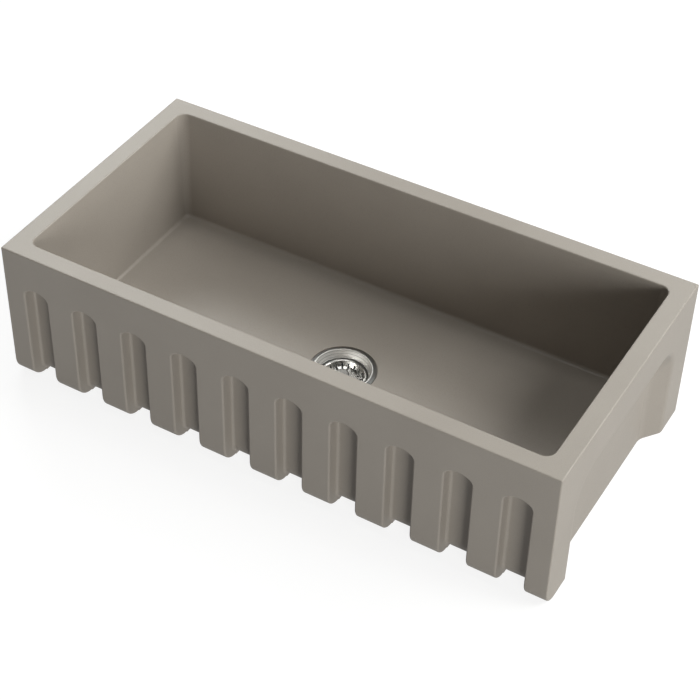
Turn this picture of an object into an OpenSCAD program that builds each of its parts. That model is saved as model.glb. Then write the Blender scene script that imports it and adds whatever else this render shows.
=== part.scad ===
// Farmhouse apron front sink with a basket strainer.
// The origin is the centre of the flat underside. X runs along the sink, the fluted apron faces -Y,
// and Z points up.

/* [Basin] */
// Overall length
basin_l = 911; // [860:1:1000]
// Overall width, front to back
basin_w = 460; // [430:1:520]
// Width of the rim all round the bowl
rim_w = 30; // [29:0.5:40]
// Depth of the bowl from the rim to the drain
bowl_depth = 206.5; // [185:0.5:240]
// Thickness of the clay round the drain, between the bowl and the hollow under it
drain_floor_t = 24.5; // [23:0.5:26]
// Fall of the bowl floor from the walls to the drain
floor_fall = 2; // [1:0.1:4]
// Draft of the bowl walls: how far each foot stands in from the rim
bowl_draft = 6; // [0:0.5:6]
// Plan radius of the bowl corners at the rim
bowl_corner_r = 16; // [13:0.5:40]
// Radius between the bowl walls and its floor
bowl_floor_r = 6; // [4:0.5:6.5]
// Rounding of the rim's inner edge
rim_inner_r = 2; // [1:0.1:4]
// Rounding of the outer edges
outer_edge_r = 2; // [1.5:0.1:8]

/* [Apron flutes] */
// Number of flutes
flute_count = 10; // [6:1:10]
// Width of the apron's end pillars
end_pillar_w = 35.5; // [30:0.5:45]
// Width of a flute between its walls
flute_w = 42; // [36:0.5:46]
// Depth of a flute
flute_depth = 22; // [14:0.5:22]
// Distance from the rim down to the top of a flute
flute_drop = 63.5; // [50:0.5:80]
// Radius of the arch's shoulders
flute_shoulder_r = 12; // [10:0.5:15]
// Rounding of the flute's mouth
flute_mouth_r = 3; // [2:0.1:6]
// Radius between the flute's walls and its floor
flute_floor_r = 4.5; // [3:0.1:9]
// Radius of the apron's lower edge
apron_foot_r = 30; // [20:0.5:34]

/* [End recesses] */
// Depth of the recess in each end
recess_depth = 23; // [18:0.5:23]
// Mean width of the plain posts in front of and behind the recess
recess_post_w = 56.5; // [45:0.5:70]
// Distance that the recess lies behind the middle of the end
recess_shift = 4.5; // [0:0.5:8]
// Distance from the rim down to the recess
recess_drop = 61; // [50:0.5:80]
// Radius of the recess's upper corners at its mouth
recess_corner_r = 58; // [46:0.5:60]
// Rounding of the recess's mouth
recess_lip_r = 15; // [6:0.5:16]
// Cove between the recess walls and its floor
recess_cove_r = 25; // [15:0.5:28]

/* [Underside] */
// Height of the hollow under the bowl
hollow_h = 20; // [10:0.5:22]
// Width of the foot band at each end of the hollow
foot_end_w = 70; // [60:1:90]
// Width of the foot band in front of and behind the hollow
foot_side_w = 78; // [70:1:95]
// Plan radius of the hollow's corners
hollow_corner_r = 40; // [20:1:60]
// Rounding of the hollow's lower edge
hollow_lip_r = 6; // [2:0.5:8]
// Radius between the hollow's walls and its roof
hollow_roof_r = 9; // [4:0.5:10]
// Room between the strainer's thread and the waste hole through the clay
waste_gap = 3.4; // [3.2:0.1:3.6]
// Depth of the seat that the strainer's flange lies in
seat_drop = 1.5; // [1:0.1:2]

/* [Strainer] */
// Width of the strainer's flange outside the waste hole
flange_lap = 6.3; // [5.8:0.1:8]
// Distance of the flange's highest line outside the waste hole
crest_lap = 0.2; // [0:0.1:1]
// Height of that line over the bowl floor
crest_h = 2; // [1.5:0.1:3]
// Inner radius of the strainer's cup
cup_r = 39.4; // [37:0.1:42]
// Drop of the cone from the bowl floor to the cup
cone_drop = 10.5; // [9:0.5:11.5]
// Thickness of the strainer's sheet metal
sheet_t = 1.3; // [1:0.1:1.5]
// Wall of the threaded barrel under its thread
barrel_wall = 1.8; // [1.6:0.1:2]
// Height of the barrel's thread
barrel_thread_h = 1.4; // [1:0.1:1.5]
// Pitch of the barrel's thread
barrel_pitch = 3; // [2.5:0.1:4]
// Depth of the cup from the bowl floor to its bottom
cup_depth = 38.5; // [37:0.5:41]
// Thickness of the cup's bottom
cup_bottom_t = 2; // [1.5:0.1:3]
// Bore radius of the outlet neck
outlet_bore_r = 19.5; // [19:0.1:19.8]
// Outer radius of the outlet's thread
outlet_thread_r = 23.6; // [23.2:0.1:24.5]
// Length of the outlet neck under the cup
outlet_l = 20; // [16:0.5:26]
// Radius of the hub in the outlet's crossbar
hub_r = 6; // [5:0.1:8]
// Number of the crossbar's arms
arm_count = 4; // [3:1:6]
// Width of an arm
arm_w = 3.5; // [2.5:0.1:5]
// Pitch of the outlet's thread
outlet_pitch = 2.6; // [2:0.1:3]

/* [Fastenings] */
// Thickness of the rubber ring under the flange
gasket_t = 1; // [0.8:0.1:1.2]
// Thickness of the rubber washer under the basin
rubber_t = 3; // [2:0.1:4]
// Thickness of the friction washer
friction_t = 1.5; // [1:0.1:2]
// Width of the two washers outside the waste hole
washer_lap = 11; // [9:0.5:16]
// Width of the lock nut's flange outside the waste hole
nut_flange_lap = 10; // [7:0.5:14]
// Thickness of the lock nut's ring outside the thread
nut_wall = 8.4; // [6:0.1:9.9]
// Height of the lock nut
nut_h = 12; // [9:0.5:13]
// Thickness of the lock nut's flange
nut_flange_t = 3.5; // [2.5:0.1:5]
// Number of spanner notches in the lock nut
notch_count = 8; // [4:1:12]
// Width of a notch
notch_w = 10; // [6:0.5:12]
// Height of a notch
notch_h = 7; // [4:0.5:7]
// Thickness of the washer on the tailpiece
tail_washer_t = 2; // [1.5:0.1:3]
// Outer radius of the tailpiece
tail_r = 19.05; // [18.9:0.01:19.2]
// Wall of the tailpiece
tail_wall = 1.2; // [0.8:0.1:1.6]
// Radius of the tailpiece's flange
tail_flange_r = 22.6; // [21.5:0.1:23]
// Length of the tailpiece under its flange
tail_l = 60; // [45:1:110]
// Depth of the relief in the tailpiece under its flange
tail_relief = 0.4; // [0.2:0.1:0.5]
// Length of that relief
tail_relief_l = 6; // [4:0.5:10]
// Outer radius of the coupling nut over its grip ribs
coupling_r = 28.5; // [27.5:0.1:32]
// Number of grip ribs round the coupling nut
coupling_ribs = 8; // [6:1:12]
// Height of a grip rib
coupling_rib_h = 1.6; // [1:0.1:2]
// Radius of a grip rib
coupling_rib_r = 2; // [1.8:0.1:2.2]
// Distance from a rib's ends to the nut's faces
coupling_rib_end = 1; // [0.5:0.1:2]
// Thickness of the coupling nut's lip
coupling_lip_t = 2.6; // [2:0.1:4]
// Length of thread that the coupling nut covers
coupling_cover = 12; // [8:0.5:14]

/* [Basket] */
// Gap between the basket's rim and the strainer's cup
basket_gap = 2.7; // [1.9:0.1:3.9]
// Drop from the bowl floor to the basket's rim
basket_rim_drop = 11.5; // [11:0.1:13]
// Height of the basket from its bottom to its rim
basket_h = 10.5; // [9:0.1:11]
// Distance that the basket's bottom stands in from its rim
basket_taper = 5.2; // [3.7:0.1:6.7]
// Thickness of the basket's sheet metal
basket_t = 1; // [0.8:0.1:1.2]
// Radius of the basket's rolled rim
basket_roll_r = 1; // [0.9:0.1:1.3]
// Number of slots in the basket's bottom
slot_count = 20; // [10:1:24]
// Width of a slot
slot_w = 3; // [1.5:0.1:3.2]
// Distance that a slot reaches in from the edge of the basket's bottom
slot_reach = 8.1; // [6.5:0.1:11.5]
// Angle of the first slot from the sink's length
slot_start = 13; // [0:1:18]
// Share of the basket's height that the slots run up its wall
slot_rise_share = 0.6; // [0.3:0.05:0.7]
// Radius of the post
post_r = 3; // [2.5:0.1:3.5]
// Largest radius of the knob
knob_r = 10; // [8:0.1:13]
// Height of the knob
knob_h = 15; // [12:0.5:17]
// Rounding of the knob's head
knob_edge_r = 2.5; // [1.5:0.1:3]
// Radius of the knob's neck
knob_neck_r = 5; // [4:0.1:6]
// Radius of the knob's foot
knob_foot_r = 8; // [7:0.1:10]
// Height of the knob's foot
knob_foot_h = 1.9; // [1:0.1:3]
// Share of the knob's height that the post reaches into
post_grip_share = 0.5; // [0.3:0.05:0.7]
// Length of the post under the outlet's crossbar
post_tip_l = 3; // [1:0.5:8]
// Gap between the stopper's sealing lip and the strainer's cup
stopper_gap = 5.4; // [3.4:0.1:8.4]
// Height of the stopper
stopper_h = 9; // [8.5:0.1:10]
// Thickness of the sealing lip
stopper_lip_t = 2.4; // [1.5:0.1:3]
// Width of the flat under the sealing lip
stopper_flat_w = 4.8; // [3:0.1:6]
// Radius of the stopper's neck
stopper_neck_r = 9; // [8:0.1:12]
// Radius of the collar on the post
collar_r = 7; // [5:0.1:9]
// Radius of the collar's flange
collar_flange_r = 12; // [10:0.1:15]
// Radius over the corners of the stopper's nut
seal_nut_r = 5.6; // [5:0.1:7]
// Height of the stopper's nut
seal_nut_h = 4; // [3:0.1:5]

/* [Clearances] */
// Gap between a thread and the nut that runs on it
thread_gap = 0.15; // [0.1:0.01:0.2]
// Gap between parts that slide or turn in each other
slide_gap = 0.2; // [0.1:0.01:0.3]
// Gap round a washer or a loose part in its place
seat_gap = 0.2; // [0.1:0.01:0.3]
// Gap round the strainer's flange in its seat
flange_gap = 1.5; // [0.5:0.1:2]

/* [Hidden] */
$fn = 96;

// Overrun of every cut past the face that it opens
over = 10;
// Legs of a 3-4-5 triangle as shares of its long side. They set where an arch's shoulders meet its
// crown, and the slope of the recess walls, so that both joints fall on round numbers.
short_share = 0.6;
long_share = 0.8;
leg_ratio = long_share / short_share;

// Basin
half_l = basin_l / 2;
half_w = basin_w / 2;
drain_z = hollow_h + drain_floor_t;
basin_h = drain_z + bowl_depth;
bowl_half_l = half_l - rim_w;
bowl_half_w = half_w - rim_w;
barrel_r = cup_r + barrel_wall;
barrel_thread_r = barrel_r + barrel_thread_h;
waste_hole_r = barrel_thread_r + waste_gap;
flange_r = waste_hole_r + flange_lap;
seat_r = flange_r + flange_gap;
seat_z = drain_z - seat_drop;

// Flutes
flute_half_w = flute_w / 2;
flute_pitch = (basin_l - 2 * end_pillar_w - flute_w) / (flute_count - 1);
arch_top_z = basin_h - flute_drop;
shoulder_x = flute_half_w - flute_shoulder_r;
crown_r = shoulder_x / short_share + flute_shoulder_r;
crown_z = arch_top_z - crown_r;
spring_z = crown_z + shoulder_x * leg_ratio;

// End recesses
recess_half_w = half_w - recess_post_w;
recess_top_z = basin_h - recess_drop;
recess_corner_z = recess_top_z - recess_corner_r;
recess_corner_y = recess_half_w - recess_corner_r;
recess_lip_run = recess_lip_r * short_share;
recess_lip_fall = recess_lip_r * (1 - long_share);

// Strainer
flange_under_z = seat_z + gasket_t;
crest_r = waste_hole_r + crest_lap;
crest_z = drain_z + crest_h;
cone_z = drain_z - cone_drop;
cup_bottom_z = drain_z - cup_depth;
cup_under_z = cup_bottom_z - cup_bottom_t;
thread_top_z = cone_z - barrel_pitch;
outlet_root_r = outlet_thread_r - sheet_t;
outlet_z = cup_under_z - outlet_l;
post_hole_r = post_r + slide_gap;

// Fastenings
washer_in_r = barrel_thread_r + thread_gap + slide_gap;
washer_r = waste_hole_r + washer_lap;
nut_flange_r = waste_hole_r + nut_flange_lap;
nut_ring_r = barrel_thread_r + nut_wall;
rubber_z = hollow_h - rubber_t;
friction_z = rubber_z - friction_t;
nut_z = friction_z - nut_h;
tail_washer_z = outlet_z - tail_washer_t;
tail_flange_z = tail_washer_z - sheet_t;
tail_z = tail_flange_z - tail_l;
tail_relief_z = tail_flange_z - tail_relief_l;
tail_in_r = tail_r - tail_wall;
coupling_z = tail_flange_z - coupling_lip_t;
coupling_h = outlet_z + coupling_cover - coupling_z;

// Basket
basket_rim_r = cup_r - basket_gap;
basket_foot_r = basket_rim_r - basket_taper;
slot_in_r = basket_foot_r - slot_reach;
stopper_r = cup_r - stopper_gap;
rim_z = drain_z - basket_rim_drop;
basket_z = rim_z - basket_h;
basket_wall_r = basket_rim_r - 2 * basket_roll_r;
stopper_z = cup_bottom_z;
stopper_top_z = stopper_z + stopper_h;
post_end_z = cup_under_z - post_tip_l;
knob_z = basket_z + basket_t + slide_gap;
knob_head_z = knob_h - 2 * knob_edge_r;
knob_head_r = knob_r - knob_edge_r;

// Half section of a pocket with a rounded mouth and a rounded floor. X runs out from the pocket's
// middle to its wall, and Y runs in from its mouth to its floor. The wall's foot stands in by the draft.
module pocket_section(wall, depth, mouth_r, floor_r, draft = 0) {
    foot = wall - draft;
    difference() {
        polygon([[0, -over], [wall + mouth_r, -over], [wall + mouth_r, mouth_r], [wall, mouth_r],
                 [foot, depth - floor_r], [foot, depth], [0, depth]]);
        translate([wall + mouth_r, mouth_r]) circle(r = mouth_r);
        difference() {
            translate([foot - floor_r, depth - floor_r]) square([floor_r + over, floor_r + over]);
            translate([foot - floor_r, depth - floor_r]) circle(r = floor_r);
        }
    }
}

module both_sides() {
    children();
    mirror([1, 0, 0]) children();
}

// Lays a shape drawn in X and Y upright: its Y becomes Z, and its height runs along +Y.
module upright() {
    rotate([90, 0, 0]) mirror([0, 0, 1]) children();
}

// Rectangular pocket with rounded corners, sunk along +Z from its mouth at Z = 0
module pocket(half_x, half_y, depth, corner_r, mouth_r, floor_r, draft = 0) {
    cx = half_x - corner_r;
    cy = half_y - corner_r;
    for (sx = [-1, 1], sy = [-1, 1])
        translate([sx * cx, sy * cy, 0])
            rotate([0, 0, (sx * sy > 0 ? 0 : 90) + (sy > 0 ? 0 : 180)])
                rotate_extrude(angle = 90) pocket_section(corner_r, depth, mouth_r, floor_r, draft);
    translate([0, cy, 0]) rotate([90, 0, 0]) linear_extrude(2 * cy)
        both_sides() pocket_section(half_x, depth, mouth_r, floor_r, draft);
    translate([-cx, 0, 0]) rotate([90, 0, 90]) linear_extrude(2 * cx)
        both_sides() pocket_section(half_y, depth, mouth_r, floor_r, draft);
}

// Outer block: every outer edge is rounded, and the apron's lower edge has its large radius
module block_profile(inset) {
    r = outer_edge_r - inset;
    foot = apron_foot_r - inset;
    y0 = inset - half_w;
    y1 = half_w - inset;
    z0 = inset;
    z1 = basin_h - inset;
    difference() {
        translate([y0, z0]) square([y1 - y0, z1 - z0]);
        difference() {
            translate([y0 - over, z0 - over]) square([foot + over, foot + over]);
            translate([y0 + foot, z0 + foot]) circle(r = foot);
        }
        if (r > 0) for (c = [[y0, z1, 1, -1], [y1, z1, -1, -1], [y1, z0, -1, 1]])
            difference() {
                translate([c[0] - r, c[1] - r]) square(2 * r);
                translate([c[0] + c[2] * r, c[1] + c[3] * r]) circle(r = r);
            }
    }
}

module along_x(length) {
    translate([-length / 2, 0, 0]) rotate([90, 0, 90]) linear_extrude(length) children();
}

module outer_block() {
    r = outer_edge_r;
    x = half_l - r;
    y = half_w - r;
    z = basin_h - r;
    foot_y = apron_foot_r - half_w;
    along_x(2 * x) block_profile(0);
    along_x(basin_l) block_profile(r);
    for (s = [-1, 1]) translate([s * x, 0, 0]) {
        translate([0, -y, z]) rotate([-90, 0, 0]) cylinder(r = r, h = 2 * y);
        translate([0, foot_y, r]) rotate([-90, 0, 0]) cylinder(r = r, h = y - foot_y);
        translate([0, y, r]) cylinder(r = r, h = z - r);
        translate([0, -y, apron_foot_r]) cylinder(r = r, h = z - apron_foot_r);
        for (p = [[-y, z], [y, z], [y, r]]) translate([0, p[0], p[1]]) sphere(r = r);
        translate([0, foot_y, apron_foot_r]) rotate([0, -90, 0]) rotate([0, 0, 180])
            rotate_extrude(angle = 90) translate([apron_foot_r - r, 0]) circle(r = r);
    }
}

// One flute's cut. X is measured from its middle, Y from the apron's face inward.
module flute_cut() {
    floor_axis_y = flute_depth + apron_foot_r;
    reach = 2 * flute_half_w;
    translate([0, 0, apron_foot_r]) linear_extrude(spring_z - apron_foot_r)
        both_sides() pocket_section(flute_half_w, flute_depth, flute_mouth_r, flute_floor_r);
    both_sides() translate([shoulder_x, 0, spring_z])
        arc_of(flute_shoulder_r, [[0, 0], [reach, 0], [reach, reach * leg_ratio]]);
    translate([0, 0, crown_z])
        arc_of(crown_r, [[0, 0], [reach, reach * leg_ratio], [-reach, reach * leg_ratio]]);
    difference() {
        along_x(flute_w) difference() {
            translate([-over, -over]) square([floor_axis_y + over, apron_foot_r + over]);
            translate([floor_axis_y, apron_foot_r]) circle(r = apron_foot_r);
        }
        both_sides() foot_sweep(floor_axis_y) difference() {
            translate([apron_foot_r, flute_half_w - flute_floor_r]) square([flute_floor_r, flute_floor_r + over]);
            translate([apron_foot_r + flute_floor_r, flute_half_w - flute_floor_r]) circle(r = flute_floor_r);
        }
    }
    both_sides() foot_sweep(apron_foot_r) difference() {
        translate([apron_foot_r - flute_mouth_r, flute_half_w]) square([flute_mouth_r + over, flute_mouth_r]);
        translate([apron_foot_r - flute_mouth_r, flute_half_w + flute_mouth_r]) circle(r = flute_mouth_r);
    }
}

// The part of a round pocket that lies inside a wedge from its middle
module arc_of(radius, wedge) {
    upright() intersection() {
        rotate_extrude() pocket_section(radius, flute_depth, flute_mouth_r, flute_floor_r);
        translate([0, 0, -2 * over]) linear_extrude(flute_depth + 3 * over) polygon(wedge);
    }
}

// Sweeps a section round the apron's lower edge, about a line along X. The section's X is its distance
// from that line and its Y runs along the line.
module foot_sweep(axis_y) {
    translate([0, axis_y, apron_foot_r]) rotate([0, 90, 0]) rotate([0, 0, -90])
        rotate_extrude(angle = 90) children();
}

// Half section of an end recess, from its middle out to the edge of its mouth at x = wall
module recess_section(wall) {
    slope_x = wall - recess_lip_run;
    slope_h = recess_depth - recess_lip_fall;
    cove_h = recess_cove_r * (1 - long_share);
    cove_x = slope_x - (slope_h - cove_h) * leg_ratio - recess_cove_r * short_share;
    across = 2 * recess_cove_r * short_share;
    down = 2 * recess_cove_r * long_share;
    difference() {
        polygon([[0, -over], [wall, -over], [wall, 0], [slope_x, recess_lip_fall],
                 [slope_x - slope_h * leg_ratio, recess_depth], [0, recess_depth]]);
        translate([wall, recess_lip_r]) circle(r = recess_lip_r);
        translate([cove_x, recess_depth - recess_cove_r]) difference() {
            polygon([[0, 0], [across, down], [across, down + 2 * recess_cove_r], [0, 2 * recess_cove_r]]);
            circle(r = recess_cove_r);
        }
    }
}

// One end recess. X is measured from its middle, Y from the end face inward.
module recess_cut() {
    translate([0, 0, -over]) linear_extrude(recess_corner_z + over)
        both_sides() recess_section(recess_half_w);
    both_sides() translate([recess_corner_y, 0, recess_corner_z]) upright()
        rotate_extrude(angle = 90) recess_section(recess_corner_r);
    translate([-recess_corner_y, 0, recess_corner_z]) rotate([0, 0, 90]) rotate([90, 0, 0])
        mirror([1, 0, 0]) rotate([0, 0, 90]) linear_extrude(2 * recess_corner_y)
            recess_section(recess_corner_r);
}

module bowl_cut() {
    depth = bowl_depth - floor_fall;
    flat_l = bowl_half_l - bowl_draft - bowl_floor_r;
    flat_w = bowl_half_w - bowl_draft - bowl_floor_r;
    translate([0, 0, basin_h]) mirror([0, 0, 1])
        pocket(bowl_half_l, bowl_half_w, depth, bowl_corner_r, rim_inner_r, bowl_floor_r, bowl_draft);
    intersection() {
        translate([0, half_w, 0]) rotate([90, 0, 0]) linear_extrude(basin_w) fall_section(flat_l);
        along_x(basin_l) fall_section(flat_w);
    }
}

// Section of the shallow fall from the bowl's flat floor to the drain
module fall_section(half) {
    top = drain_z + floor_fall;
    polygon([[-seat_r, drain_z], [seat_r, drain_z], [half, top], [half, top + floor_fall],
             [-half, top + floor_fall], [-half, top]]);
}

module drain_cut() {
    translate([0, 0, -over]) cylinder(r = waste_hole_r, h = basin_h);
    translate([0, 0, seat_z]) cylinder(r = seat_r, h = seat_drop + floor_fall);
}

module hollow_cut() {
    pocket(half_l - foot_end_w, half_w - foot_side_w, hollow_h, hollow_corner_r, hollow_lip_r, hollow_roof_r);
}

module basin() {
    color([0.64, 0.62, 0.58]) difference() {
        outer_block();
        bowl_cut();
        drain_cut();
        hollow_cut();
        for (i = [0 : flute_count - 1])
            translate([(i - (flute_count - 1) / 2) * flute_pitch, -half_w, 0]) flute_cut();
        translate([half_l, recess_shift, 0]) rotate([0, 0, 90]) recess_cut();
        translate([-half_l, recess_shift, 0]) rotate([0, 0, -90]) recess_cut();
    }
}

// Outline of a thread drawn as rings, from top_z down to end_z
function thread_points(root_r, crest, pitch, top_z, end_z) =
    [for (i = [0 : floor((top_z - end_z) / pitch) - 1], p = [0 : 2])
        [p == 1 ? crest : root_r, top_z - (i + p / 2) * pitch]];

module strainer_body() {
    color([0.74, 0.74, 0.75]) {
        rotate_extrude() polygon(concat(
            [[cup_r, cup_bottom_z], [cup_r, cone_z], [crest_r - sheet_t, crest_z], [crest_r, crest_z],
             [flange_r, drain_z], [flange_r, seat_z + seat_gap], [flange_r - sheet_t, seat_z + seat_gap],
             [flange_r - sheet_t, flange_under_z], [waste_hole_r - slide_gap, flange_under_z],
             [barrel_r, cone_z]],
            thread_points(barrel_r, barrel_thread_r, barrel_pitch, thread_top_z, cup_under_z),
            [[barrel_r, cup_under_z], [outlet_root_r, cup_under_z]],
            thread_points(outlet_root_r, outlet_thread_r, outlet_pitch, cup_under_z - sheet_t, outlet_z),
            [[outlet_root_r, outlet_z], [outlet_bore_r, outlet_z], [outlet_bore_r, cup_bottom_z]]));
        crossbar();
    }
}

module crossbar() {
    translate([0, 0, cup_under_z]) difference() {
        union() {
            cylinder(r = hub_r, h = cup_bottom_t);
            for (i = [0 : arm_count - 1]) rotate([0, 0, i * 360 / arm_count])
                translate([0, -arm_w / 2, 0]) cube([outlet_bore_r + sheet_t, arm_w, cup_bottom_t]);
        }
        translate([0, 0, -over]) cylinder(r = post_hole_r, h = cup_bottom_t + 2 * over);
    }
}

module ring(r_out, r_in, h) {
    rotate_extrude() translate([r_in, 0]) square([r_out - r_in, h]);
}

module flange_gasket() {
    color([0.12, 0.12, 0.12]) translate([0, 0, seat_z])
        ring(flange_r - sheet_t - seat_gap, waste_hole_r + seat_gap, gasket_t);
}

module rubber_washer() {
    color([0.1, 0.1, 0.1]) translate([0, 0, rubber_z]) ring(washer_r, washer_in_r, rubber_t);
}

module friction_washer() {
    color([0.78, 0.7, 0.55]) translate([0, 0, friction_z]) ring(washer_r, washer_in_r, friction_t);
}

module lock_nut() {
    color([0.72, 0.6, 0.35]) translate([0, 0, nut_z]) difference() {
        union() {
            ring(nut_ring_r, barrel_thread_r + thread_gap, nut_h);
            translate([0, 0, nut_h - nut_flange_t])
                ring(nut_flange_r, barrel_thread_r + thread_gap, nut_flange_t);
        }
        for (i = [0 : notch_count - 1]) rotate([0, 0, i * 360 / notch_count])
            translate([(barrel_thread_r + nut_ring_r) / 2, -notch_w / 2, -over])
                cube([nut_flange_r, notch_w, over + notch_h]);
    }
}

module tailpiece_washer() {
    color([0.1, 0.1, 0.1]) translate([0, 0, tail_washer_z])
        ring(tail_flange_r, outlet_bore_r, tail_washer_t);
}

module tailpiece() {
    color([0.8, 0.8, 0.82]) rotate_extrude()
        polygon([[tail_in_r, tail_z], [tail_r, tail_z], [tail_r, tail_relief_z],
                 [tail_r - tail_relief, tail_relief_z], [tail_r - tail_relief, tail_flange_z],
                 [tail_flange_r, tail_flange_z], [tail_flange_r, tail_washer_z],
                 [tail_in_r, tail_washer_z]]);
}

module coupling_nut() {
    bore = outlet_thread_r + thread_gap;
    ring_r = coupling_r - coupling_rib_h;
    color([0.8, 0.8, 0.82]) translate([0, 0, coupling_z]) {
        ring(ring_r, bore, coupling_h);
        ring(ring_r, tail_r + slide_gap, coupling_lip_t);
        for (i = [0 : coupling_ribs - 1]) rotate([0, 0, i * 360 / coupling_ribs])
            translate([coupling_r - coupling_rib_r, 0, coupling_rib_end])
                cylinder(r = coupling_rib_r, h = coupling_h - 2 * coupling_rib_end);
    }
}

module basket_cup() {
    color([0.76, 0.76, 0.77]) translate([0, 0, basket_z]) difference() {
        rotate_extrude() {
            polygon([[post_hole_r, 0], [basket_foot_r, 0], [basket_wall_r, basket_h - basket_t],
                     [basket_wall_r - basket_t, basket_h - basket_t], [basket_foot_r - basket_t, basket_t],
                     [post_hole_r, basket_t]]);
            translate([basket_wall_r - basket_t, basket_h - basket_t])
                square([basket_t + basket_roll_r, basket_t]);
            translate([basket_rim_r - basket_roll_r, basket_h - basket_t]) circle(r = basket_roll_r);
        }
        for (i = [0 : slot_count - 1]) rotate([0, 0, slot_start + i * 360 / slot_count])
            translate([0, 0, -over]) linear_extrude(over + basket_h * slot_rise_share) {
                translate([slot_in_r, 0]) circle(d = slot_w);
                translate([slot_in_r, -slot_w / 2]) square([basket_rim_r, slot_w]);
            }
    }
}

module basket_post() {
    color([0.7, 0.7, 0.7]) translate([0, 0, post_end_z])
        cylinder(r = post_r, h = knob_z + knob_h * post_grip_share - post_end_z);
}

module basket_knob() {
    color([0.8, 0.8, 0.8]) translate([0, 0, knob_z]) difference() {
        rotate_extrude() {
            square([knob_neck_r, knob_h]);
            square([knob_foot_r, knob_foot_h]);
            translate([0, knob_head_z]) square([knob_head_r, 2 * knob_edge_r]);
            translate([knob_head_r, knob_head_z + knob_edge_r]) circle(r = knob_edge_r);
        }
        translate([0, 0, -over]) cylinder(r = post_r, h = over + knob_h * post_grip_share);
    }
}

// The basket rests and turns on the collar's flange.
module post_collar() {
    collar_h = basket_z - stopper_top_z;
    color([0.75, 0.75, 0.72]) translate([0, 0, stopper_top_z]) difference() {
        union() {
            cylinder(r = collar_r, h = collar_h);
            translate([0, 0, collar_h - sheet_t]) cylinder(r = collar_flange_r, h = sheet_t);
        }
        translate([0, 0, -over]) cylinder(r = post_r, h = collar_h + 2 * over);
    }
}

module stopper_seal() {
    color([0.08, 0.08, 0.08]) rotate_extrude()
        polygon([[post_r, stopper_z + seal_nut_h], [seal_nut_r + seat_gap, stopper_z + seal_nut_h],
                 [stopper_r - stopper_flat_w, stopper_z], [stopper_r, stopper_z],
                 [stopper_r, stopper_z + stopper_lip_t], [stopper_neck_r, stopper_top_z],
                 [post_r, stopper_top_z]]);
}

module seal_nut() {
    color([0.72, 0.6, 0.35]) translate([0, 0, stopper_z]) difference() {
        cylinder(r = seal_nut_r, h = seal_nut_h, $fn = 6);
        translate([0, 0, -over]) cylinder(r = post_r, h = seal_nut_h + 2 * over);
    }
}

basin();
strainer_body();
flange_gasket();
rubber_washer();
friction_washer();
lock_nut();
tailpiece_washer();
tailpiece();
coupling_nut();
basket_cup();
basket_post();
basket_knob();
post_collar();
stopper_seal();
seal_nut();
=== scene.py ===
# %% [markdown]
# A farmhouse apron front sink, dressed for its picture. The solids come from the CAD frame: a fireclay
# basin with a fluted, arched apron, and the steel basket strainer in its drain. The frame fixes every size
# and every shape, so the work here is the camera, the finishes and the light. The finishes also carry what
# is too fine for a solid: the grain of the clay, and the rings and grooves that a lathe leaves.

import bpy
import numpy as np
from mathutils import Matrix, Vector

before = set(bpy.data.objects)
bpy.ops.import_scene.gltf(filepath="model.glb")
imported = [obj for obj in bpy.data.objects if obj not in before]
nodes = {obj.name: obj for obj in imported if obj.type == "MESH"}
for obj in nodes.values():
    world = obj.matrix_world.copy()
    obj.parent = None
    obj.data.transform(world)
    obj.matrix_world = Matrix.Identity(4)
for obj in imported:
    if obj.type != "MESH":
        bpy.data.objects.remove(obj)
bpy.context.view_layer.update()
print("nodes:", sorted(nodes))

# %% [markdown]
# The camera stands in front of the right-hand end and looks down into the bowl. Its place could be tried
# by eye, but the straight rims of the sink fix it: lines that are parallel on the sink run to common
# points in a photograph, and those points give the lens and the direction. The numbers below are in
# metres from the middle of the sink's flat underside.

# %% Camera
FAR_ENOUGH = 50.0  # metres, past the floor's far edge
camera_at = Vector((1.00383, -1.77119, 1.92022))
looking_along = Vector((-0.40527, 0.64470, -0.64817)).normalized()
picture_right = Vector((0.84885, 0.52860, -0.00498)).normalized()
picture_up = picture_right.cross(looking_along).normalized()
camera_data = bpy.data.cameras.new("camera")
camera_data.sensor_width = 36.0
camera_data.lens = 92.79
camera_data.shift_x = 0.0975
camera_data.shift_y = -0.0739
camera_data.clip_end = FAR_ENOUGH
camera = bpy.data.objects.new("camera", camera_data)
axes = Matrix((picture_right, picture_up, -looking_along)).transposed()
camera.matrix_world = Matrix.Translation(camera_at) @ axes.to_4x4()
bpy.context.scene.collection.objects.link(camera)
bpy.context.scene.camera = camera
print("camera at", tuple(round(v, 3) for v in camera_at))

# %% [markdown]
# A finish is a small graph of nodes. Typing each graph out by hand repeats the same lines, so one helper
# adds a node, sets its values and joins its inputs. A value may be a number, a colour or the output of
# another node.


# %% Node helpers
def add_node(tree, kind, values=None, **settings):
    """Adds a node of that kind. Values go to its input sockets by name or number."""
    node = tree.nodes.new(kind)
    for name, value in settings.items():
        setattr(node, name, value)
    for key, value in (values or {}).items():
        socket = node.inputs[key]
        if isinstance(value, bpy.types.NodeSocket):
            tree.links.new(value, socket)
        else:
            socket.default_value = value
    return node


def new_group(name, inputs, outputs):
    """An empty node group. Inputs are name: (socket kind, value), outputs are name: socket kind."""
    group = bpy.data.node_groups.new(name, "ShaderNodeTree")
    for title, (kind, value) in inputs.items():
        socket = group.interface.new_socket(title, in_out="INPUT", socket_type=kind)
        socket.default_value = value
    for title, kind in outputs.items():
        group.interface.new_socket(title, in_out="OUTPUT", socket_type=kind)
    return group, group.nodes.new("NodeGroupInput"), group.nodes.new("NodeGroupOutput")


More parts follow.
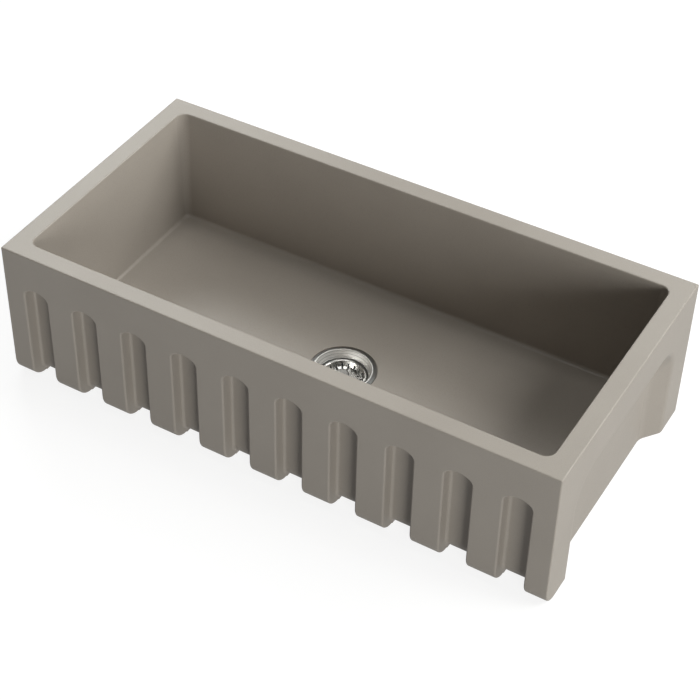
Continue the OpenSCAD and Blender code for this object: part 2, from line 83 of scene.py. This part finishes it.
def new_material(name):
    """An empty material with a Principled shader wired to its output."""
    material = bpy.data.materials.new(name)
    material.use_nodes = True
    tree = material.node_tree
    tree.nodes.clear()
    shader = add_node(tree, "ShaderNodeBsdfPrincipled")
    output = add_node(tree, "ShaderNodeOutputMaterial")
    tree.links.new(shader.outputs["BSDF"], output.inputs["Surface"])
    return material, tree, shader


def use_group(tree, group, values):
    """Places a node group in a tree and sets its inputs."""
    node = tree.nodes.new("ShaderNodeGroup")
    node.node_tree = group
    for key, value in values.items():
        if isinstance(value, bpy.types.NodeSocket):
            tree.links.new(value, node.inputs[key])
        else:
            node.inputs[key].default_value = value
    return node


def finish(node_names, material):
    """Gives CAD nodes a material. Their shape stays as the frame has it."""
    for name in node_names:
        slots = nodes[name].data.materials
        slots.clear()
        slots.append(material)
    print(material.name, "on", ", ".join(node_names))


# %% [markdown]
# Clay, rubber and fibre all vary a little from place to place: the glaze is thicker here and there, and
# fine grains show through it. Two layers of noise give that. A broad one, a hand's width across, shifts
# the colour, and a fine one, about a millimetre, scatters specks. Both read Object coordinates, so the
# specks stay fixed to the clay when the camera moves. The limits below say how much of each noise counts:
# the clouds blend over most of their range, and only the peaks of the fine noise show as specks.

# %% Speckle group
CLOUD_FROM, CLOUD_FULL = 0.35, 0.65
SPECK_FROM, SPECK_FULL = 0.54, 0.66
speckle, sp_in, sp_out = new_group(
    "speckle",
    {
        "Base": ("NodeSocketColor", (0.5, 0.5, 0.5, 1)),
        "Cloud": ("NodeSocketColor", (0.5, 0.5, 0.5, 1)),
        "Speck": ("NodeSocketColor", (0.5, 0.5, 0.5, 1)),
        "Cloud Scale": ("NodeSocketFloat", 6.0),
        "Speck Scale": ("NodeSocketFloat", 700.0),
        "Speck Share": ("NodeSocketFloat", 0.4),
    },
    {"Color": "NodeSocketColor", "Grain": "NodeSocketFloat"},
)
place = add_node(speckle, "ShaderNodeTexCoord").outputs["Object"]
clouds = add_node(
    speckle,
    "ShaderNodeTexNoise",
    {"Vector": place, "Scale": sp_in.outputs["Cloud Scale"], "Detail": 4.0, "Roughness": 0.6},
)
specks = add_node(
    speckle,
    "ShaderNodeTexNoise",
    {"Vector": place, "Scale": sp_in.outputs["Speck Scale"], "Detail": 2.0, "Roughness": 0.7},
)
cloud_mask = add_node(
    speckle,
    "ShaderNodeMapRange",
    {"Value": clouds.outputs["Fac"], "From Min": CLOUD_FROM, "From Max": CLOUD_FULL},
)
speck_mask = add_node(
    speckle,
    "ShaderNodeMapRange",
    {"Value": specks.outputs["Fac"], "From Min": SPECK_FROM, "From Max": SPECK_FULL},
)
speck_part = add_node(
    speckle,
    "ShaderNodeMath",
    {0: speck_mask.outputs["Result"], 1: sp_in.outputs["Speck Share"]},
    operation="MULTIPLY",
)
clouded = add_node(
    speckle,
    "ShaderNodeMixRGB",
    {
        "Fac": cloud_mask.outputs["Result"],
        "Color1": sp_in.outputs["Base"],
        "Color2": sp_in.outputs["Cloud"],
    },
)
specked = add_node(
    speckle,
    "ShaderNodeMixRGB",
    {"Fac": speck_part.outputs[0], "Color1": clouded.outputs[0], "Color2": sp_in.outputs["Speck"]},
)
speckle.links.new(specked.outputs[0], sp_out.inputs["Color"])
speckle.links.new(specks.outputs["Fac"], sp_out.inputs["Grain"])
print("group speckle:", len(speckle.nodes), "nodes")

# %% [markdown]
# Steel turned on a lathe keeps fine rings round its axis, and light breaks across them. The rings depend
# only on the distance from the drain's axis, so the length of the X and Y part of the position feeds a
# one-dimensional noise. The drain's axis is the frame's Z axis, so no Mapping node is needed. The same
# distance in steps of 2.1 mm, with its whole part taken off, gives a groove at the start of each step.

# %% Turned rings group
GROOVE_STEP = 0.0021  # metres from one groove to the next
GROOVE_WIDTH = 0.3  # as a part of the step
rings, rg_in, rg_out = new_group(
    "turned_rings",
    {"Scale": ("NodeSocketFloat", 6000.0), "Groove Step": ("NodeSocketFloat", GROOVE_STEP)},
    {"Height": "NodeSocketFloat", "Groove": "NodeSocketFloat", "Away": "NodeSocketFloat"},
)
place = add_node(rings, "ShaderNodeTexCoord").outputs["Object"]
flat = add_node(rings, "ShaderNodeVectorMath", {0: place, 1: (1, 1, 0)}, operation="MULTIPLY")
away = add_node(rings, "ShaderNodeVectorMath", {0: flat.outputs[0]}, operation="LENGTH")
lines = add_node(
    rings,
    "ShaderNodeTexNoise",
    {"W": away.outputs["Value"], "Scale": rg_in.outputs["Scale"], "Detail": 3.0},
    noise_dimensions="1D",
)
turns = add_node(
    rings,
    "ShaderNodeMath",
    {0: away.outputs["Value"], 1: rg_in.outputs["Groove Step"]},
    operation="DIVIDE",
)
along = add_node(rings, "ShaderNodeMath", {0: turns.outputs[0]}, operation="FRACT")
groove = add_node(
    rings,
    "ShaderNodeMapRange",
    {"Value": along.outputs[0], "From Max": GROOVE_WIDTH, "To Min": 1.0, "To Max": 0.0},
)
rings.links.new(lines.outputs["Fac"], rg_out.inputs["Height"])
rings.links.new(groove.outputs["Result"], rg_out.inputs["Groove"])
rings.links.new(away.outputs["Value"], rg_out.inputs["Away"])
print("group turned_rings:", len(rings.nodes), "nodes")

# %% [markdown]
# The basin is fireclay under a satin glaze, a warm grey between stone and putty. A fully matte glaze would
# be simpler, but the real one keeps a soft sheen along the rims and on the back wall of the bowl, so its
# roughness is middling. The grain of the clay shifts the roughness a little and lifts the surface by less
# than a tenth of a millimetre.

# %% Fireclay
GLAZE_SMOOTH, GLAZE_ROUGH = 0.34, 0.42
GRAIN_DEPTH = 0.00006
clay, tree, shader = new_material("matte_fireclay")
spots = use_group(
    tree,
    speckle,
    {
        "Base": (0.35, 0.314, 0.278, 1),
        "Cloud": (0.333, 0.298, 0.263, 1),
        "Speck": (0.26, 0.23, 0.203, 1),
        "Cloud Scale": 7.0,
        "Speck Scale": 900.0,
        "Speck Share": 0.5,
    },
)
tree.links.new(spots.outputs["Color"], shader.inputs["Base Color"])
shader.inputs["Specular IOR Level"].default_value = 0.5
sheen = add_node(
    tree,
    "ShaderNodeMapRange",
    {
        "Value": spots.outputs["Grain"],
        "From Min": 0.3,
        "From Max": 0.7,
        "To Min": GLAZE_SMOOTH,
        "To Max": GLAZE_ROUGH,
    },
)
tree.links.new(sheen.outputs["Result"], shader.inputs["Roughness"])
grain = add_node(
    tree,
    "ShaderNodeBump",
    {"Height": spots.outputs["Grain"], "Strength": 0.35, "Distance": GRAIN_DEPTH},
)
tree.links.new(grain.outputs["Normal"], shader.inputs["Normal"])
finish(["basin"], clay)


# %% [markdown]
# The strainer and its basket are stainless steel, the tailpiece and its nut chromed brass. Metals need a
# colour, full metallic and the lathe's rings. The strainer's cone also has a groove every 2.1 mm, and the
# outer slope of its lip lies in shade. Both depend only on the distance from the drain's axis, so two masks
# paint
# shade into the colour there: a dark line in each groove and a dark band on the lip's outer slope. They
# could be cut into the solid, but they are finer than any form that it has to hold. The basket is polished,
# and its knob is a darker satin.


# %% Metals
LIP_SHADE_FROM, LIP_SHADE_FULL = 0.0460, 0.0472  # metres from the axis: where the painted shade on the lip starts, and where it is full
# painted shade: the dark colour of each groove's line and of the shaded outer slope of the lip
GROOVE_SHADE_COLOUR, LIP_SHADE_COLOUR = (0.12, 0.12, 0.12, 1), (0.1, 0.1, 0.1, 1)
SMOOTHEST, ROUGHEST = 0.7, 1.3  # how far the roughness strays from ring to ring


def paint_ring_shade(tree, marks, colour, groove_shade, lip_shade):
    """The metal's colour with painted shade: darkened by those shares in the grooves and on the lip's outer
    slope.
    """
    groove_shade_mask = add_node(
        tree, "ShaderNodeMath", {0: marks.outputs["Groove"], 1: groove_shade}, operation="MULTIPLY"
    )
    lip_shade_mask = add_node(
        tree,
        "ShaderNodeMapRange",
        {"Value": marks.outputs["Away"], "From Min": LIP_SHADE_FROM, "From Max": LIP_SHADE_FULL, "To Max": lip_shade},
    )
    groove_shaded = add_node(
        tree,
        "ShaderNodeMixRGB",
        {"Fac": groove_shade_mask.outputs[0], "Color1": colour, "Color2": GROOVE_SHADE_COLOUR},
    )
    lip_shaded = add_node(
        tree,
        "ShaderNodeMixRGB",
        {"Fac": lip_shade_mask.outputs["Result"], "Color1": groove_shaded.outputs[0], "Color2": LIP_SHADE_COLOUR},
    )
    return lip_shaded.outputs[0]


def turned_metal(name, colour, roughness, scale, depth, groove_shade=0.0, lip_shade=0.0):
    """A metal with lathe rings of that depth in metres. The two shade shares say how far painted shade
    darkens it in the grooves and on the lip's outer slope.
    """
    material, tree, shader = new_material(name)
    shader.inputs["Metallic"].default_value = 1.0
    marks = use_group(tree, rings, {"Scale": scale})
    if groove_shade or lip_shade:
        tree.links.new(paint_ring_shade(tree, marks, colour, groove_shade, lip_shade), shader.inputs["Base Color"])
    else:
        shader.inputs["Base Color"].default_value = colour
    spread = add_node(
        tree,
        "ShaderNodeMapRange",
        {
            "Value": marks.outputs["Height"],
            "To Min": roughness * SMOOTHEST,
            "To Max": roughness * ROUGHEST,
        },
    )
    tree.links.new(spread.outputs["Result"], shader.inputs["Roughness"])
    bump = add_node(
        tree,
        "ShaderNodeBump",
        {"Height": marks.outputs["Height"], "Strength": 0.6, "Distance": depth},
    )
    tree.links.new(bump.outputs["Normal"], shader.inputs["Normal"])
    return material


# the brushed steel carries painted shade: a dark line in each groove and a dark band on the lip's outer
# slope
brushed = turned_metal(
    "brushed_steel",
    (0.96, 0.95, 0.93, 1),
    roughness=0.42,
    scale=5000.0,
    depth=0.00004,
    groove_shade=0.55,
    lip_shade=0.75,
)
polished = turned_metal(
    "polished_steel", (0.8, 0.79, 0.77, 1), roughness=0.22, scale=4000.0, depth=0.000012
)
satin = turned_metal("satin_steel", (0.3, 0.29, 0.28, 1), roughness=0.3, scale=4000.0, depth=0.00002)
chrome = turned_metal("chrome", (0.78, 0.78, 0.8, 1), roughness=0.07, scale=3000.0, depth=0.000004)
brass = turned_metal("cast_brass", (0.55, 0.4, 0.17, 1), roughness=0.38, scale=2500.0, depth=0.00003)
finish(["strainer_body"], brushed)
finish(["basket_cup", "basket_post"], polished)
finish(["basket_knob"], satin)
finish(["tailpiece", "coupling_nut"], chrome)
finish(["lock_nut", "post_collar", "seal_nut"], brass)

# %% [markdown]
# The seals are black rubber, and the friction washer is pressed fibre that is close to thick card. Both
# reuse the speckle group with their own colours: almost even on the rubber, coarse on the fibre.


# %% Rubber and fibre
def grainy(name, base, cloud, speck, scale, roughness, depth):
    """A soft or fibrous finish with specks and a slight relief. Each colour is red, green and blue."""
    material, tree, shader = new_material(name)
    spots = use_group(
        tree,
        speckle,
        {
            "Base": (*base, 1),
            "Cloud": (*cloud, 1),
            "Speck": (*speck, 1),
            "Cloud Scale": 40.0,
            "Speck Scale": scale,
            "Speck Share": 0.6,
        },
    )
    tree.links.new(spots.outputs["Color"], shader.inputs["Base Color"])
    shader.inputs["Roughness"].default_value = roughness
    bump = add_node(
        tree,
        "ShaderNodeBump",
        {"Height": spots.outputs["Grain"], "Strength": 0.5, "Distance": depth},
    )
    tree.links.new(bump.outputs["Normal"], shader.inputs["Normal"])
    return material


black = grainy(
    "black_rubber",
    base=(0.02, 0.02, 0.02),
    cloud=(0.03, 0.03, 0.03),
    speck=(0.05, 0.05, 0.05),
    scale=1500.0,
    roughness=0.62,
    depth=0.00005,
)
card = grainy(
    "pressed_fibre",
    base=(0.48, 0.37, 0.22),
    cloud=(0.42, 0.31, 0.17),
    speck=(0.3, 0.2, 0.1),
    scale=1200.0,
    roughness=0.85,
    depth=0.0001,
)
finish(["flange_gasket", "rubber_washer", "tailpiece_washer", "stopper_seal"], black)
finish(["friction_washer"], card)

# %% [markdown]
# The stage is a pale floor that the sink stands on. The outlet hangs lower than the sink's foot, so the
# floor has a round hole under the drain, as a worktop would. The hole is hidden by the sink. Rings of
# points round the drain's axis give the floor as one surface: the radius grows from the hole to far
# outside the picture. The floor glows like a light table, which keeps it white up to the sink's foot and
# softens the contact shadow. That much light from below would wash out the flutes, so the glow that is
# seen and the glow that is sent to the sink are two values, and a Light Path node tells them apart. The
# floor lies a fifth of a millimetre below the sink's foot, because two faces in one plane flicker.


# %% Floor
FLOOR_LEVEL = -0.0002  # metres
SENT_GLOW, SEEN_GLOW = 0.26, 0.85


def floor_surface(inner, outer, steps, turns):
    """Points (r cos t, r sin t, FLOOR_LEVEL): r grows from inner to outer in equal ratios, t goes round."""
    r = inner * (outer / inner) ** np.linspace(0, 1, steps)
    t = np.linspace(0, 2 * np.pi, turns, endpoint=False)
    points = np.stack(
        [np.outer(r, np.cos(t)), np.outer(r, np.sin(t)), np.full((steps, turns), FLOOR_LEVEL)], axis=-1
    )
    i, j = np.meshgrid(np.arange(steps - 1), np.arange(turns), indexing="ij")
    k = (j + 1) % turns
    quads = np.stack([i * turns + j, (i + 1) * turns + j, (i + 1) * turns + k, i * turns + k], axis=-1)
    return points.reshape(-1, 3), quads.reshape(-1, 4)


points, quads = floor_surface(inner=0.07, outer=12.0, steps=12, turns=96)
mesh = bpy.data.meshes.new("floor")
mesh.from_pydata(points.tolist(), [], quads.tolist())
floor = bpy.data.objects.new("floor", mesh)
bpy.context.scene.collection.objects.link(floor)
floor_paint, tree, shader = new_material("floor_paint")
shader.inputs["Base Color"].default_value = (0.22, 0.22, 0.22, 1)
shader.inputs["Roughness"].default_value = 0.9
shader.inputs["Specular IOR Level"].default_value = 0.1
shader.inputs["Emission Color"].default_value = (1, 1, 1, 1)
seen = add_node(tree, "ShaderNodeLightPath").outputs["Is Camera Ray"]
glow = add_node(
    tree,
    "ShaderNodeMapRange",
    {"Value": seen, "To Min": SENT_GLOW, "To Max": SEEN_GLOW},
)
tree.links.new(glow.outputs["Result"], shader.inputs["Emission Strength"])
mesh.materials.append(floor_paint)
print("floor:", len(quads), "faces")

# %% [markdown]
# The light falls from the right and above: the rim and the right end are bright, the apron is in half
# shade and the wall of the bowl nearest the light is nearly black. One sun would draw hard edges in the
# flutes, so broad panels stand round the sink, as the walls of a photographer's tent. Near panels would
# light the near end more than the far one, so they stand seven to nine metres away. One high on the right
# gives the bright end, and those behind the sink light its rims and the floor of the bowl. A low one at the
# right front reaches into the flutes and the recess. The tent's cloth is faintly green, so the warm clay
# looks a little cooler where the light falls on it than where one wall lights another. Past the floor's far
# edge a low view would end in black, so the sky is pale for the camera and sends no light of its own.


# %% Lights
TENT_CLOTH = (0.985, 1.0, 0.975)
PANEL_SIZE = 3.0  # metres along each side
SEEN_SKY = 0.9
SINK_MIDDLE = Vector((0, 0, 0.1))


def panel(name, at, watts):
    """A square lamp at a point, turned to face the sink. Its power is in watts."""
    data = bpy.data.lights.new(name, "AREA")
    data.shape = "SQUARE"
    data.size = PANEL_SIZE
    data.energy = watts
    data.color = TENT_CLOTH
    lamp = bpy.data.objects.new(name, data)
    lamp.location = at
    lamp.rotation_euler = (SINK_MIDDLE - Vector(at)).to_track_quat("-Z", "Y").to_euler()
    bpy.context.scene.collection.objects.link(lamp)


panel("top_panel", (0, 0, 7.0), 90.0)
panel("right_panel", (5.2, 0.6, 4.8), 85.0)
panel("right_high_panel", (6.4, 2.0, 6.4), 300.0)
panel("right_back_panel", (4.4, 4.4, 4.8), 205.0)
panel("left_back_panel", (-4.4, 4.4, 4.8), 165.0)
panel("back_panel", (0, 6.0, 4.4), 126.0)
panel("flute_panel", (5.6, -4.8, 1.4), 325.0)
world = bpy.data.worlds.new("sky")
world.use_nodes = True
sky = world.node_tree.nodes["Background"]
sky.inputs["Color"].default_value = (1, 1, 1, 1)
seen = add_node(world.node_tree, "ShaderNodeLightPath").outputs["Is Camera Ray"]
backdrop = add_node(world.node_tree, "ShaderNodeMath", {0: seen, 1: SEEN_SKY}, operation="MULTIPLY")
world.node_tree.links.new(backdrop.outputs[0], sky.inputs["Strength"])
bpy.context.scene.world = world
bpy.context.scene.view_settings.view_transform = "Standard"
